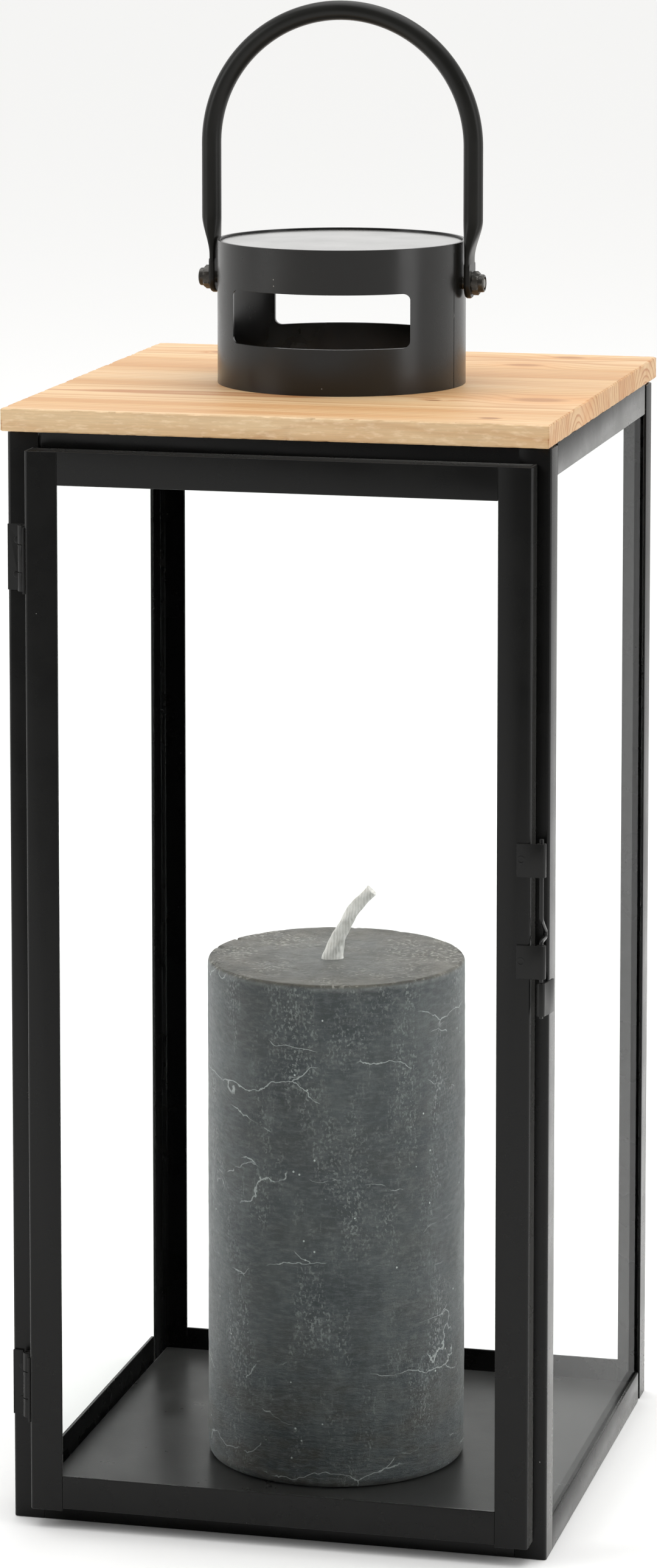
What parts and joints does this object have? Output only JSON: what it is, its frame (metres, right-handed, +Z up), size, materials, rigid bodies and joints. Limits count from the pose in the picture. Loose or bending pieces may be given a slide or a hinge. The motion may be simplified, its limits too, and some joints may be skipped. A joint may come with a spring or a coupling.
{
  "type": "candle lantern",
  "caption": "Square black metal and glass candle lantern with a hinged latching front door, wooden top, round vented cap, swinging handle and grey pillar candle.",
  "frame": {"origin": "middle of the square cage's footprint, on the surface the lantern stands on", "axes": "+Z up, -Y towards the door, +X towards the door's latch side"},
  "size_m": [0.2076, 0.2226, 0.5691],
  "materials": {
    "black_paint": "satin black powder coat",
    "fastener_steel": "black coated fastener steel",
    "clear_glass": "clear float glass",
    "pine": "raw pine, glued staves",
    "grey_wax": "dark grey mottled wax",
    "cotton_wick": "waxed cotton cord"
  },
  "bodies": {
    "frame": {"post_front_left": "black_paint", "post_back_left": "black_paint", "post_front_right": "black_paint", "post_back_right": "black_paint", "rail_top_front": "black_paint", "rail_top_back": "black_paint", "rail_top_left": "black_paint", "rail_top_right": "black_paint", "rail_bottom_front": "black_paint", "rail_bottom_back": "black_paint", "rail_bottom_left": "black_paint", "rail_bottom_right": "black_paint", "base_tray": "black_paint", "glass_left": "clear_glass", "glass_right": "clear_glass", "glass_back": "clear_glass", "clips_left": "black_paint", "clips_right": "black_paint", "clips_back": "black_paint", "board_front": "pine", "board_back": "pine", "hinge_upper_frame_leaf": "black_paint", "hinge_upper_pin": "black_paint", "hinge_lower_frame_leaf": "black_paint", "hinge_lower_pin": "black_paint", "cap_shell": "black_paint", "cap_lid": "black_paint", "pivot_bolts": "fastener_steel", "pivot_nuts": "fastener_steel"},
    "door": {"door_stile_left": "black_paint", "door_stile_right": "black_paint", "door_rail_top": "black_paint", "door_rail_bottom": "black_paint", "door_glass": "clear_glass", "clips_door": "black_paint", "hinge_upper_door_leaf": "black_paint", "hinge_lower_door_leaf": "black_paint", "latch_guide_upper": "black_paint", "latch_guide_lower": "black_paint"},
    "latch": {"latch_rod": "black_paint", "latch_tab": "black_paint"},
    "handle": {"handle": "black_paint"},
    "candle": {"candle": "grey_wax", "wick": "cotton_wick"}
  },
  "joints": [
    {"name": "door_hinge", "type": "hinge", "parent": "frame", "child": "door", "pos_m": [-0.0954, -0.1049, 0.2], "axis": [0, 0, -1], "range_deg": [0, 110]},
    {"name": "latch_turn", "type": "hinge", "parent": "door", "child": "latch", "pos_m": [0.1014, -0.11185, 0.24], "axis": [0, 0, -1], "range_deg": [0, 100]},
    {"name": "handle_swing", "type": "hinge", "parent": "frame", "child": "handle", "pos_m": [0, 0, 0.4622], "axis": [1, 0, 0], "range_deg": [-108, 108]},
    {"name": "candle_lift", "type": "slide", "parent": "frame", "child": "candle", "axis": [0, 0, 1], "range_m": [0, 0.1]}
  ]
}
